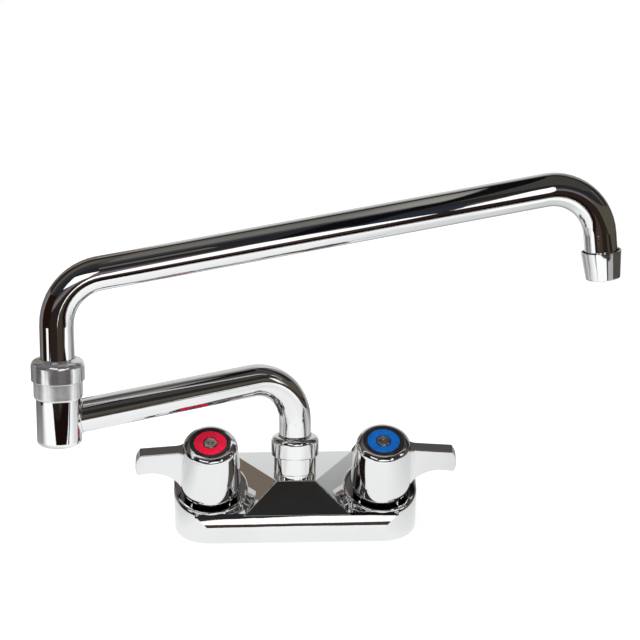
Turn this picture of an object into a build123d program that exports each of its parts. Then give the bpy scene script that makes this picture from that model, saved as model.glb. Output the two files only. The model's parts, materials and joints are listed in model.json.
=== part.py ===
"""Splash-mount faucet with a double-jointed swing spout.

Millimetres. The origin is the centre of the wall face at the height of the inlets.
+X runs to the user's right, +Y into the wall, +Z up. The spout is drawn as it stands
in use: the first arm swung out to the left, the second arm swung back to the right.
"""
import os
from math import cos, pi, radians, sin, sqrt, tan

from build123d import *

# Body casting
INLET_SPACING = 101.6        # 4 inch centres
BODY_ABOVE = 16.5            # flat top above the inlet axis
BODY_BELOW = 18.3            # underside below the inlet axis
BODY_DEPTH = 77.0            # wall face to front band
BODY_CORNER_R = 22.2         # front corners seen from above, round the bosses
BODY_DRAFT = 1.5             # degrees, walls flaring upwards
BODY_FOOT_R = 6.5            # rounding of the lower edge
BODY_FRONT_R = 20.0          # slow rounding from the front band to the crease
BODY_FRONT_TURN = 30.0       # degrees it turns back before the crease
BODY_CREASE = 0.8            # crease above the inlet axis
BODY_DECK_SLOPE = 11.5       # degrees, deck rising from the crease to the wall
BODY_SIDE_R = 3.0            # rounding between the deck and the end walls
SPOUT_SETBACK = 46.0         # wall face to spout axis
HUMP_FRONT = 14.3            # spout axis to the front edge of the flat top
HUMP_TOP_HALF = 11.5         # half width of the flat top at its front edge
HUMP_FACE_SPREAD = 1.2       # sideways run of its slanted edges, per drop
HUMP_RIDGE_SPREAD = 23.6     # degrees, ridges spreading towards the wall
HUMP_EDGE_R = 1.1
SPOUT_LAND_HEIGHT = 2.0      # turned land round the spout hole
SPOUT_LAND_R = 13.0
WATERWAY_R = 3.7
WATERWAY_LAP = 4.0           # cross drilling begun inside the shank hole
WATERWAY_SHORT = 13.0        # its end before the centre of the boss

# Handle bosses and their tilted axes
BOSS_R = 22.3
BOSS_EDGE_R = 1.8
BOSS_SETBACK = 57.3          # wall face to the valve's zero point on its axis
BOSS_RISE = 14.9             # zero point above the inlet axis
BOSS_TILT = 30.0             # degrees, axis leaning from vertical to the user
BOSS_FACE = -2.7             # boss face from the zero point
BOSS_ROOT = 23.0             # foot of the boss cylinder below the zero point
BOSS_SEAM = 9.5              # the end wall is carried up to the face outside of this
BOSS_SEAM_BACK = 9.0         # and in front of this, behind the axis
BOSS_CORNER_R = 3.2          # its rounding there
POCKET_R = 20.9              # round pocket in the boss face, under the handle's skirt
POCKET_FLOOR = -5.2

# Inlet shanks and what clamps them behind the panel
SHANK_R = 10.48              # 1/2 inch pipe thread
SHANK_BORE_R = 6.5
SHANK_OUT = 45.0             # behind the wall face
SHANK_IN = 10.0              # screwed into the body
SHANK_RELIEF = 2.0           # clear space past its end
SHANK_CHAMFER = 0.8
SHANK_GROOVE_Y = 13.2        # run-out groove between the locknut's thread and the supply's
SHANK_GROOVE_WIDTH = 1.0
SHANK_GROOVE_DEPTH = 0.7
THREAD_CLEARANCE = 0.02
PANEL_THICKNESS = 3.0        # splash panel that the body clamps
GASKET_R = 16.5
GASKET_THICKNESS = 1.5
WASHER_R = 17.0
WASHER_THICKNESS = 1.5
LOCKNUT_FLATS = 32.0
LOCKNUT_THICKNESS = 7.0
LOCKNUT_BEVEL = 1.2

# Spout tube
TUBE_R = 9.525               # 3/4 inch outside diameter
TUBE_WALL = 1.25
BEND_R = 28.6
LOWER_ARM = 152.4            # spout axis to joint axis
LOWER_ARM_TURN = 28.3        # degrees, swung from straight left towards the user
LOWER_ARM_DROP = 3.0         # degrees below level
LOWER_ARM_HEIGHT = 63.2      # its centreline above the body's flat top, on the spout axis
UPPER_ARM = 304.8            # joint axis to outlet bend
UPPER_ARM_TURN = 6.3         # degrees, swung from straight right towards the wall
UPPER_ARM_RISE = 9.2         # degrees above level
UPPER_ARM_HEIGHT = 78.3      # its centreline above the lower one, on the joint axis
OUTLET_TILT = 6.5            # degrees, outlet leaning away from the riser

# Swivels, the same at the body and at the joint
SWIVEL_BORE_R = 11.2
SWIVEL_BORE_BELOW = 8.2      # bore floor below the nut's lower face
SWIVEL_FIT = 0.05            # radial running clearance
SLEEVE_LENGTH = 13.4
SLEEVE_GROOVES = (2.6, 8.8)  # groove edges above the sleeve's foot
GROOVE_WIDTH = 1.8
GROOVE_DEPTH = 0.9
THRUST_THICKNESS = 1.2
NECK_HEIGHT = 6.8            # threaded neck inside the nut
NECK_WALL = 1.4
BUSHING_THICKNESS = 1.3
NUT_TUBE_GAP = 0.33
NUT_WALL = 1.6
NUT_SKIRT = 8.6              # straight side of the nut
NUT_DOME = 4.0
SEAT_GAP = 0.1

# Socket on the body and socket of the joint
COLLAR_R = 12.9
COLLAR_HEIGHT = 12.2         # nut's lower face above the flat top
SPIGOT_R = 9.5
SPIGOT_LENGTH = 9.0
SOCKET_BORE_R = 7.5
JOINT_R = 12.4
JOINT_FOOT = 14.0            # foot below the arm's centreline
JOINT_FOOT_R = 3.0
JOINT_COLLAR_R = 13.6
JOINT_COLLAR_FROM = 13.2     # collar above the arm's centreline
JOINT_NUT_HEIGHT = 22.9      # nut's lower face above the arm's centreline
JOINT_NUT_EXTRA = 0.55       # joint nut wall beyond the spout nut's
JOINT_WALL = 3.3

# Outlet
SHELL_TOP_R = 11.65
SHELL_BOTTOM_R = 9.95
SHELL_FROM = 40.5            # below the bend's corner, along the outlet
SHELL_HEIGHT = 16.3
SHELL_WALL = 0.9
SHELL_CUP = 6.0              # depth of the open cup round the tube
TUBE_IN_SHELL = 9.5
SHELL_LIP = 1.0
AERATOR_R = 8.8
AERATOR_WASHER = 1.0
AERATOR_HOLE_R = 0.55
AERATOR_PITCH = 2.6
AERATOR_WALL = 1.3
AERATOR_FLOOR = 1.5

# Lever handles, measured along the stem from the valve's zero point
SKIRT_FROM = -1.2
CAP_HEIGHT = 34.3
CAP_R = 12.0
SHOULDER_R = 16.1
SHOULDER_DROP = 4.1
SKIRT_R = 18.1
SKIRT_WALL = 2.0
CAP_WALL = 4.8
HUB_R = 6.6
HUB_FROM = 13.5
LEVER_REACH = 44.0
LEVER_THICKNESS = 7.2
LEVER_TOP_DROP = 4.3         # lever top below the cap, at the bell
LEVER_TIP_DROP = 7.1
LEVER_TIP_HEIGHT = 16.4
LEVER_NOSE = 3.0             # rounding at the tip
LEVER_PALM = 10.0            # flat under the tip
LEVER_PALM_RISE = 1.3
LEVER_ROOT_R = 7.0           # hollow rounding between blade and bell
LEVER_EDGE_R = 0.8
INDEX_R = 9.5
INDEX_BORE_R = 4.5
INDEX_DEPTH = 1.0
INDEX_PROUD = 0.15
SCREW_HEAD_R = 4.15
SCREW_HEAD_HEIGHT = 2.4
SCREW_R = 2.0
SCREW_SEAT = 2.0             # head seat below the cap
SCREW_LENGTH = 15.0
RECESS_SPAN = 4.6
RECESS_WIDTH = 1.0
RECESS_DEPTH = 1.3

# Quarter-turn cartridges
VALVE_BORE_R = 11.05
VALVE_BORE_DEPTH = 21.5
VALVE_SEAT_R = 5.0
VALVE_SEAT_DEPTH = 5.5
INLET_DROP = 6.5             # waterway from the shank below the inlet axis
GALLERY_R = 2.8              # waterway to the spout
GALLERY_RISE = 1.6           # above the inlet axis
GALLERY_SETBACK = 50.4
GALLERY_SUMP = 1.0           # spout bore drilled past it
SLEEVE_FIT = 0.1             # cartridge sleeve in its bore
CARTRIDGE_WALL = 1.65
CARTRIDGE_ROOF = 9.3         # roof of its chamber below the zero point
HEX_FLATS = 22.0
HEX_HEIGHT = 5.5
NECK_R = 7.2
NECK_TOP = 12.5
STEM_R = 4.6
STEM_FIT = 0.05
STEM_FOOT_THICKNESS = 2.0
SPLINE_R = 4.0
SPLINE_TOP = 24.5
DRIVER_R = 5.6
DISC_FIT = 0.1
MOVING_DISC = 2.5
FIXED_DISC = 3.0
SEAL_THICKNESS = 1.0
SIDE_PORT_WIDTH = 8.0
SIDE_PORT_HEIGHT = 2.7
DISC_WEB = 1.5               # half the bar between a disc's two windows
DISC_RIM = 1.8

# Places worked out from the sizes above
HALF_SPACING = INLET_SPACING / 2
BODY_HALF = HALF_SPACING + BOSS_R - 0.1
TUBE_BORE_R = TUBE_R - TUBE_WALL
SLEEVE_R = SWIVEL_BORE_R - SWIVEL_FIT
GROOVE_R = SLEEVE_R - GROOVE_DEPTH
NECK_OUTER_R = SWIVEL_BORE_R + NECK_WALL
NUT_BORE_R = NECK_OUTER_R + SWIVEL_FIT
SPOUT_NUT_Z = BODY_ABOVE + COLLAR_HEIGHT
SPOUT_AXIS = Vector(0, -SPOUT_SETBACK, 0)
LOWER_CORNER = Vector(0, -SPOUT_SETBACK, BODY_ABOVE + LOWER_ARM_HEIGHT)
LOWER_RUN = Vector(
    -cos(radians(LOWER_ARM_TURN)),
    -sin(radians(LOWER_ARM_TURN)),
    -tan(radians(LOWER_ARM_DROP)),
)
JOINT_CENTRE = LOWER_CORNER + LOWER_RUN * LOWER_ARM
UPPER_HEADING = Vector(cos(radians(UPPER_ARM_TURN)), sin(radians(UPPER_ARM_TURN)), 0)
UPPER_CORNER = JOINT_CENTRE + Vector(0, 0, UPPER_ARM_HEIGHT)
UPPER_RUN = UPPER_HEADING + Vector(0, 0, tan(radians(UPPER_ARM_RISE)))
OUTLET_CORNER = UPPER_CORNER + UPPER_RUN * UPPER_ARM
OUTLET_RUN = UPPER_HEADING * sin(radians(OUTLET_TILT)) - Vector(0, 0, cos(radians(OUTLET_TILT)))
SOCKET_FLOOR_BELOW = SWIVEL_BORE_BELOW - THRUST_THICKNESS - SEAT_GAP
VALVE_SIDES = {"hot": -1, "cold": 1}


def turned(profile):
    """Solid of revolution about Z from (radius, height) corners."""
    outline = Polyline(*[(r, 0, z) for r, z in profile], close=True)
    return revolve(make_face(outline), Axis.Z)


def ring(outer, inner, low, high):
    """Plain turned ring."""
    return turned([(inner, low), (outer, low), (outer, high), (inner, high)])


def rod(radius, low, high):
    """Plain round bar along Z."""
    return Pos(0, 0, low) * Cylinder(radius, high - low, align=(Align.CENTER, Align.CENTER, Align.MIN))


def soft_ring(outer, inner, low, high):
    """Ring with rounded corners, as an O-ring lies in its groove."""
    blank = ring(outer, inner, low, high)
    return fillet(blank.edges(), min(outer - inner, high - low) * 0.3)


def along(start, direction, shape):
    """Place a shape made along +Z on a line."""
    return Plane(origin=start, z_dir=direction) * shape


def valve_frame(side):
    """Frame of a valve: X outwards along the lever at rest, Z along the stem."""
    tilt = radians(BOSS_TILT)
    return Plane(
        origin=(side * HALF_SPACING, -BOSS_SETBACK, BOSS_RISE),
        x_dir=(side, 0, 0),
        z_dir=(0, -sin(tilt), cos(tilt)),
    )


def body_plan(width, depth, radius):
    """Outline from above: square behind the wall face, round corners at the front."""
    k = radius * (1 - sqrt(0.5))
    w = width
    d = depth
    r = radius
    outline = [
        Line((w, r), (w, -d + r)),
        ThreePointArc((w, -d + r), (w - k, -d + k), (w - r, -d)),
        Line((w - r, -d), (-w + r, -d)),
        ThreePointArc((-w + r, -d), (-w + k, -d + k), (-w, -d + r)),
        Line((-w, -d + r), (-w, r)),
        Line((-w, r), (w, r)),
    ]
    return make_face(Wire(outline))


def body_walls():
    """Tall blank with the casting's outer walls and its rounded foot."""
    lean = tan(radians(BODY_DRAFT))
    front_z = BODY_CREASE - BODY_FRONT_R * sin(radians(BODY_FRONT_TURN))
    shrink = (BODY_BELOW + front_z) * lean
    plan = body_plan(BODY_HALF - (BODY_BELOW + BOSS_RISE) * lean, BODY_DEPTH - shrink, BODY_CORNER_R - shrink)
    height = BODY_BELOW + BOSS_RISE + BOSS_R
    blank = extrude(Pos(0, 0, -BODY_BELOW) * plan, height, taper=-BODY_DRAFT)
    low_edges = blank.edges().filter_by_position(Axis.Z, -BODY_BELOW, -BODY_BELOW)
    blank = fillet([e for e in low_edges if e.center().Y < BODY_CORNER_R - 1], BODY_FOOT_R)
    behind = Pos(0, BODY_CORNER_R, 0) * Box(4 * BODY_HALF, 2 * BODY_CORNER_R, 4 * height)
    return blank - behind


def body_base():
    """The walls cut down to a slow front rounding, a crease and a deck rising to the wall."""
    turn = radians(BODY_FRONT_TURN)
    start_z = BODY_CREASE - BODY_FRONT_R * sin(turn)
    centre_y = -BODY_DEPTH + BODY_FRONT_R
    crease_y = centre_y - BODY_FRONT_R * cos(turn)
    back_z = BODY_CREASE - crease_y * tan(radians(BODY_DECK_SLOPE))
    side_view = make_face(Wire([
        Line((0, -BODY_DEPTH, start_z), (0, -BODY_DEPTH, -BODY_BELOW - 1)),
        Line((0, -BODY_DEPTH, -BODY_BELOW - 1), (0, 0, -BODY_BELOW - 1)),
        Line((0, 0, -BODY_BELOW - 1), (0, 0, back_z)),
        Line((0, 0, back_z), (0, crease_y, BODY_CREASE)),
        ThreePointArc(
            (0, crease_y, BODY_CREASE),
            (0, centre_y - BODY_FRONT_R * cos(turn / 2), start_z + BODY_FRONT_R * sin(turn / 2)),
            (0, -BODY_DEPTH, start_z),
        ),
    ]))
    block = body_walls() & extrude(side_view, 2 * BODY_HALF, both=True)
    side_edges = [
        e for e in block.edges()
        if abs(e.center().X) > BODY_HALF - 2 and -BODY_DEPTH / 2 < e.center().Y < -1 and e.center().Z > 0
    ]
    return fillet(side_edges, BODY_SIDE_R)


def is_outer(point):
    """True off the two inner cuts of a boss's corner."""
    return point.X > BOSS_SEAM + 0.1 and abs(abs(point.Y) - BOSS_SEAM_BACK) > 0.1


def boss(side):
    """Tilted boss, with the casting's end wall carried up to its face."""
    round_part = rod(BOSS_R, -BOSS_ROOT, BOSS_FACE)
    round_part = fillet(round_part.edges().sort_by(Axis.Z)[-1], BOSS_EDGE_R)
    reach = 3 * BOSS_R
    frame = valve_frame(side)
    middle = (BOSS_SEAM + reach / 2, side * (BOSS_SEAM_BACK - reach / 2), BOSS_FACE - reach / 2)
    front = Pos(middle) * Box(reach, reach, reach)
    corner = body_walls() & (frame * front)
    top = corner.faces().sort_by(Axis.Z)[-1]
    rim = [e for e in top.edges() if is_outer(frame.to_local_coords(e.center()))]
    return frame * (round_part - front) + fillet(rim, BOSS_CORNER_R)


def hump():
    """Central hump: flat top for the spout, slanted front face, falling side faces."""
    turn = radians(BODY_FRONT_TURN)
    crease_y = -BODY_DEPTH + BODY_FRONT_R * (1 - cos(turn))
    front = -SPOUT_SETBACK - HUMP_FRONT
    drop = BODY_ABOVE - BODY_CREASE + 1.0
    foot = front - (front - crease_y) * drop / (BODY_ABOVE - BODY_CREASE)
    spread = tan(radians(HUMP_RIDGE_SPREAD))
    levels = []
    for y, half, z in (
        (front, HUMP_TOP_HALF, BODY_ABOVE),
        (foot, HUMP_TOP_HALF + HUMP_FACE_SPREAD * drop, BODY_ABOVE - drop),
    ):
        back = half - y * spread
        corners = [(-half, y), (half, y), (back, 0), (-back, 0)]
        levels.append(Pos(0, 0, z) * make_face(Polyline(*corners, close=True)))
    block = loft(levels, ruled=True)
    sharp = [
        e for e in block.edges()
        if e.center().Y < -1 and e.center().Z > BODY_ABOVE - drop + 0.1
    ]
    return fillet(sharp, HUMP_EDGE_R)


def waterways():
    """Channels from the shanks to the valve chambers, and on to the spout."""
    floor = BODY_ABOVE - SPIGOT_LENGTH - 0.5
    cuts = Pos(SPOUT_AXIS) * rod(SPIGOT_R + THREAD_CLEARANCE, floor, BODY_ABOVE + SPOUT_LAND_HEIGHT + 1)
    cuts += Pos(SPOUT_AXIS) * rod(SOCKET_BORE_R, GALLERY_RISE - GALLERY_R - GALLERY_SUMP, floor)
    cuts += Pos(0, -GALLERY_SETBACK, GALLERY_RISE) * Rot(0, 90, 0) * rod(
        GALLERY_R, -HALF_SPACING, HALF_SPACING
    )
    for side in VALVE_SIDES.values():
        inlet = Pos(side * HALF_SPACING, 0, 0) * Rot(90, 0, 0)
        cuts += inlet * rod(SHANK_R + THREAD_CLEARANCE, -1, SHANK_IN)
        drilling = rod(WATERWAY_R, SHANK_IN - WATERWAY_LAP, BOSS_SETBACK - WATERWAY_SHORT)
        cuts += inlet * Pos(0, -INLET_DROP, 0) * drilling
        cuts += inlet * rod(SHANK_BORE_R, SHANK_IN - 1, SHANK_IN + SHANK_RELIEF)
        frame = valve_frame(side)
        cuts += frame * rod(POCKET_R, POCKET_FLOOR, 1)
        cuts += frame * rod(VALVE_BORE_R, -VALVE_BORE_DEPTH, 1)
        cuts += frame * rod(VALVE_SEAT_R, -VALVE_BORE_DEPTH - VALVE_SEAT_DEPTH, -VALVE_BORE_DEPTH + 1)
    return cuts


def faucet_body():
    """The casting: base, hump, spout land and two tilted bosses, bored for its valves."""
    casting = body_base() + hump()
    casting += Pos(SPOUT_AXIS) * rod(SPOUT_LAND_R, BODY_ABOVE - 2, BODY_ABOVE + SPOUT_LAND_HEIGHT)
    for side in VALVE_SIDES.values():
        casting += boss(side)
    return casting - waterways()


def inlet_shank(side):
    """Threaded nipple that carries the body and brings the water."""
    blank = ring(SHANK_R, SHANK_BORE_R, -SHANK_IN, SHANK_OUT)
    circles = blank.edges().filter_by(GeomType.CIRCLE)
    ends = [e for e in circles if abs(e.radius - SHANK_R) < 0.01]
    blank = chamfer(ends, SHANK_CHAMFER)
    blank -= ring(
        SHANK_R + 1,
        SHANK_R - SHANK_GROOVE_DEPTH,
        SHANK_GROOVE_Y,
        SHANK_GROOVE_Y + SHANK_GROOVE_WIDTH,
    )
    return Pos(side * HALF_SPACING, 0, 0) * Rot(-90, 0, 0) * blank


def on_shanks(shape):
    """The same piece on both shanks, made along +Z from the wall face."""
    pieces = [
        Pos(side * HALF_SPACING, 0, 0) * Rot(-90, 0, 0) * shape for side in VALVE_SIDES.values()
    ]
    return Compound(pieces)


def shank_gaskets():
    bore = SHANK_R + 0.1
    low = PANEL_THICKNESS
    return on_shanks(ring(GASKET_R, bore, low, low + GASKET_THICKNESS))


def shank_washers():
    bore = SHANK_R + 0.2
    low = PANEL_THICKNESS + GASKET_THICKNESS
    return on_shanks(ring(WASHER_R, bore, low, low + WASHER_THICKNESS))


def shank_locknuts():
    low = PANEL_THICKNESS + GASKET_THICKNESS + WASHER_THICKNESS
    outer_r = LOCKNUT_FLATS / sqrt(3)
    hexagon = extrude(Pos(0, 0, low) * RegularPolygon(outer_r, 6), LOCKNUT_THICKNESS)
    cone = turned([
        (0, low),
        (LOCKNUT_FLATS / 2 - 0.2, low),
        (outer_r, low + LOCKNUT_BEVEL),
        (outer_r, low + LOCKNUT_THICKNESS - LOCKNUT_BEVEL),
        (LOCKNUT_FLATS / 2 - 0.2, low + LOCKNUT_THICKNESS),
        (0, low + LOCKNUT_THICKNESS),
    ])
    nut = (hexagon & cone) - rod(SHANK_R + THREAD_CLEARANCE, low - 1, low + LOCKNUT_THICKNESS + 1)
    return on_shanks(nut)


def spout_socket():
    """Brass socket on the body: spigot, collar, threaded neck and swivel bore."""
    z = SPOUT_NUT_Z
    seat = BODY_ABOVE + SPOUT_LAND_HEIGHT
    socket = turned([
        (SOCKET_BORE_R, BODY_ABOVE - SPIGOT_LENGTH),
        (SPIGOT_R, BODY_ABOVE - SPIGOT_LENGTH),
        (SPIGOT_R, seat),
        (COLLAR_R - 0.35, seat),
        (COLLAR_R, seat + 0.35),
        (COLLAR_R, z),
        (NECK_OUTER_R, z),
        (NECK_OUTER_R, z + NECK_HEIGHT),
        (SWIVEL_BORE_R, z + NECK_HEIGHT),
        (SWIVEL_BORE_R, z - SWIVEL_BORE_BELOW),
        (SOCKET_BORE_R, z - SWIVEL_BORE_BELOW),
    ])
    return Pos(SPOUT_AXIS) * socket


def coupling_nut(wall):
    """Domed nut that holds a tube's sleeve down; its lower face is at z = 0."""
    lip = NECK_HEIGHT + BUSHING_THICKNESS
    outer = NUT_BORE_R + wall
    hole = TUBE_R + NUT_TUBE_GAP
    top = NUT_SKIRT + NUT_DOME
    round_in = NUT_DOME * 0.85
    outline = [
        Line((NUT_BORE_R, 0, 0), (outer - 0.5, 0, 0)),
        Line((outer - 0.5, 0, 0), (outer, 0, 0.5)),
        Line((outer, 0, 0.5), (outer, 0, NUT_SKIRT)),
        ThreePointArc(
            (outer, 0, NUT_SKIRT),
            (outer - round_in * 0.29, 0, NUT_SKIRT + round_in * 0.71),
            (outer - round_in, 0, NUT_SKIRT + round_in),
        ),
        Line((outer - round_in, 0, NUT_SKIRT + round_in), (hole, 0, top)),
        Line((hole, 0, top), (hole, 0, lip)),
        Line((hole, 0, lip), (NUT_BORE_R, 0, lip)),
        Line((NUT_BORE_R, 0, lip), (NUT_BORE_R, 0, 0)),
    ]
    return revolve(make_face(Wire(outline)), Axis.Z)


def swivel_bushing():
    """Plastic ring between the neck and the nut's lip that guides the tube."""
    return ring(NUT_BORE_R - 0.1, TUBE_R + SWIVEL_FIT, NECK_HEIGHT, NECK_HEIGHT + BUSHING_THICKNESS)


def thrust_washer(bore):
    """Slip washer on the floor of the swivel bore."""
    return ring(SWIVEL_BORE_R - 0.05, bore, -SWIVEL_BORE_BELOW, THRUST_THICKNESS - SWIVEL_BORE_BELOW)


def swivel_sleeve():
    """Grooved brass sleeve on the tube's end, running in the swivel bore."""
    foot = -SOCKET_FLOOR_BELOW
    bore = TUBE_R + 0.01
    corners = [(bore, foot), (SLEEVE_R, foot)]
    for groove in SLEEVE_GROOVES:
        low = foot + groove
        high = low + GROOVE_WIDTH
        corners += [(SLEEVE_R, low), (GROOVE_R, low), (GROOVE_R, high), (SLEEVE_R, high)]
    corners += [(SLEEVE_R, foot + SLEEVE_LENGTH), (bore, foot + SLEEVE_LENGTH)]
    return turned(corners)


def sleeve_o_rings():
    """Two seals in the sleeve's grooves."""
    rings = []
    for groove in SLEEVE_GROOVES:
        low = groove - SOCKET_FLOOR_BELOW
        rings.append(soft_ring(SWIVEL_BORE_R - 0.02, GROOVE_R, low + 0.05, low + GROOVE_WIDTH - 0.05))
    return Compound(rings)


def pipe(path, radius):
    """Round bar swept along a path."""
    return sweep(Plane(origin=path @ 0, z_dir=path % 0) * Circle(radius), path=path)


def lower_spout_tube():
    """Riser and first arm; its far end is coped to fit the joint socket."""
    foot = Vector(0, -SPOUT_SETBACK, SPOUT_NUT_Z - SOCKET_FLOOR_BELOW)
    end = LOWER_CORNER + LOWER_RUN * (LOWER_ARM - TUBE_R * 0.6)
    path = FilletPolyline(foot, LOWER_CORNER, end, radius=BEND_R)
    tube = pipe(path, TUBE_R) - pipe(path, TUBE_BORE_R)
    cope = JOINT_R - JOINT_WALL / 2
    return tube - Pos(JOINT_CENTRE) * rod(cope, -3 * TUBE_R, 3 * TUBE_R)


def upper_spout_tube():
    """Riser, long arm and outlet bend in one piece of tube."""
    foot = JOINT_CENTRE + Vector(0, 0, JOINT_NUT_HEIGHT - SOCKET_FLOOR_BELOW)
    end = OUTLET_CORNER + OUTLET_RUN * (SHELL_FROM + TUBE_IN_SHELL)
    path = FilletPolyline(foot, UPPER_CORNER, OUTLET_CORNER, end, radius=BEND_R)
    return pipe(path, TUBE_R) - pipe(path, TUBE_BORE_R)


def joint_socket():
    """Closed cup at the end of the first arm, with a collar and a threaded neck."""
    n = JOINT_NUT_HEIGHT
    cavity = JOINT_R - JOINT_WALL
    cup = turned([
        (0, -JOINT_FOOT),
        (JOINT_R, -JOINT_FOOT),
        (JOINT_R, JOINT_COLLAR_FROM),
        (JOINT_COLLAR_R - 0.5, JOINT_COLLAR_FROM),
        (JOINT_COLLAR_R, JOINT_COLLAR_FROM + 0.9),
        (JOINT_COLLAR_R, n),
        (NECK_OUTER_R, n),
        (NECK_OUTER_R, n + NECK_HEIGHT),
        (0, n + NECK_HEIGHT),
    ])
    foot_edge = cup.edges().filter_by(GeomType.CIRCLE).sort_by(Axis.Z)[0]
    cup = fillet(foot_edge, JOINT_FOOT_R)
    cup -= rod(SWIVEL_BORE_R, n - SWIVEL_BORE_BELOW, n + NECK_HEIGHT + 1)
    cup -= rod(cavity, JOINT_WALL - JOINT_FOOT, n)
    port = along((0, 0, 0), LOWER_RUN * -1, rod(TUBE_R + 0.01, 0, 3 * TUBE_R))
    return Pos(JOINT_CENTRE) * (cup - port)


def shell_radius(depth):
    """Outer radius of the aerator shell at a depth below its rim."""
    return SHELL_TOP_R + (SHELL_BOTTOM_R - SHELL_TOP_R) * depth / SHELL_HEIGHT


def on_outlet(shape):
    """Place a piece made from the shell's rim along the outlet."""
    return along(OUTLET_CORNER + OUTLET_RUN * SHELL_FROM, OUTLET_RUN, shape)


def aerator_shell():
    """Flared cup: open round the tube above, screwed on in the middle, lipped below."""
    shell = turned([
        (SHELL_TOP_R - SHELL_WALL, 0),
        (SHELL_TOP_R, 0),
        (shell_radius(SHELL_HEIGHT), SHELL_HEIGHT),
        (AERATOR_R - SHELL_LIP, SHELL_HEIGHT),
        (AERATOR_R - SHELL_LIP, SHELL_HEIGHT - SHELL_LIP),
        (AERATOR_R + 0.05, SHELL_HEIGHT - SHELL_LIP),
        (AERATOR_R + 0.05, TUBE_IN_SHELL + 0.05),
        (TUBE_R + 0.02, TUBE_IN_SHELL + 0.05),
        (TUBE_R + 0.02, SHELL_CUP),
        (shell_radius(SHELL_CUP) - SHELL_WALL, SHELL_CUP),
    ])
    low_edge = [
        e for e in shell.edges().filter_by(GeomType.CIRCLE)
        if abs(e.radius - shell_radius(SHELL_HEIGHT)) < 0.01
    ]
    return on_outlet(fillet(low_edge, 0.8))


def aerator_washer():
    low = TUBE_IN_SHELL + 0.05
    return on_outlet(ring(AERATOR_R, TUBE_BORE_R - 1.0, low, low + AERATOR_WASHER))


def aerator_insert():
    """Plastic flow straightener: a cup with a ring pattern of holes in its floor."""
    low = TUBE_IN_SHELL + 0.05 + AERATOR_WASHER
    high = SHELL_HEIGHT - SHELL_LIP
    insert = rod(AERATOR_R, low, high) - rod(AERATOR_R - AERATOR_WALL, low - 1, high - AERATOR_FLOOR)
    places = [(0, 0)]
    for ring_number in (1, 2):
        count = 6 * ring_number
        for i in range(count):
            angle = 2 * pi * i / count
            reach = AERATOR_PITCH * ring_number
            places.append((reach * cos(angle), reach * sin(angle)))
    for x, y in places:
        insert -= Pos(x, y, 0) * rod(AERATOR_HOLE_R, high - AERATOR_FLOOR - 1, high + 1)
    return on_outlet(insert)


def handle_bell():
    """Turned part of a handle: bell outside, hollow skirt and splined hub inside."""
    shoulder = CAP_HEIGHT - SHOULDER_DROP
    inner_top = CAP_HEIGHT - CAP_WALL
    seat = CAP_HEIGHT - SCREW_SEAT
    index_floor = CAP_HEIGHT - INDEX_DEPTH
    bend = (SHOULDER_R - CAP_R) * 0.71
    outline = [
        ThreePointArc(
            (CAP_R, 0, CAP_HEIGHT),
            (CAP_R + bend, 0, CAP_HEIGHT - SHOULDER_DROP * 0.29),
            (SHOULDER_R, 0, shoulder),
        ),
        ThreePointArc(
            (SHOULDER_R, 0, shoulder),
            ((SHOULDER_R + SKIRT_R) / 2 + 0.35, 0, (shoulder + SKIRT_FROM) / 2),
            (SKIRT_R, 0, SKIRT_FROM + 1.0),
        ),
        Polyline(
            (SKIRT_R, 0, SKIRT_FROM + 1.0),
            (SKIRT_R - 0.3, 0, SKIRT_FROM),
            (SKIRT_R - SKIRT_WALL, 0, SKIRT_FROM),
            (SKIRT_R - SKIRT_WALL, 0, HUB_FROM),
            (SHOULDER_R - SKIRT_WALL, 0, inner_top),
            (HUB_R, 0, inner_top),
            (HUB_R, 0, HUB_FROM),
            (SPLINE_R + 0.05, 0, HUB_FROM),
            (SPLINE_R + 0.05, 0, SPLINE_TOP + 0.5),
            (SCREW_R + 0.3, 0, SPLINE_TOP + 0.5),
            (SCREW_R + 0.3, 0, seat),
            (SCREW_HEAD_R + 0.1, 0, seat),
            (SCREW_HEAD_R + 0.1, 0, index_floor),
            (INDEX_R + 0.1, 0, index_floor),
            (INDEX_R + 0.1, 0, CAP_HEIGHT),
            (CAP_R, 0, CAP_HEIGHT),
        ),
    ]
    return revolve(make_face(Wire([e for part in outline for e in part.edges()])), Axis.Z)


def lever_side():
    """Side view of the blade, in the XZ plane of the handle."""
    top = CAP_HEIGHT - LEVER_TOP_DROP
    tip_top = CAP_HEIGHT - LEVER_TIP_DROP
    tip_low = tip_top - LEVER_TIP_HEIGHT
    reach = LEVER_REACH
    inside = SHOULDER_R * 0.7
    palm = reach - LEVER_PALM
    palm_low = tip_low + LEVER_PALM_RISE
    root_low = SKIRT_FROM + 1.2
    return make_face(Wire([
        Line((inside, 0, top), (reach - LEVER_NOSE, 0, tip_top)),
        ThreePointArc(
            (reach - LEVER_NOSE, 0, tip_top),
            (reach, 0, (tip_top + tip_low) / 2 + 0.5),
            (reach - 1.0, 0, tip_low),
        ),
        Line((reach - 1.0, 0, tip_low), (palm, 0, palm_low)),
        ThreePointArc(
            (palm, 0, palm_low),
            ((palm + SKIRT_R) / 2 + 0.5, 0, tip_low - 0.9),
            (SKIRT_R - 0.4, 0, root_low),
        ),
        Line((SKIRT_R - 0.4, 0, root_low), (inside, 0, root_low)),
        Line((inside, 0, root_low), (inside, 0, top)),
    ]))


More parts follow.
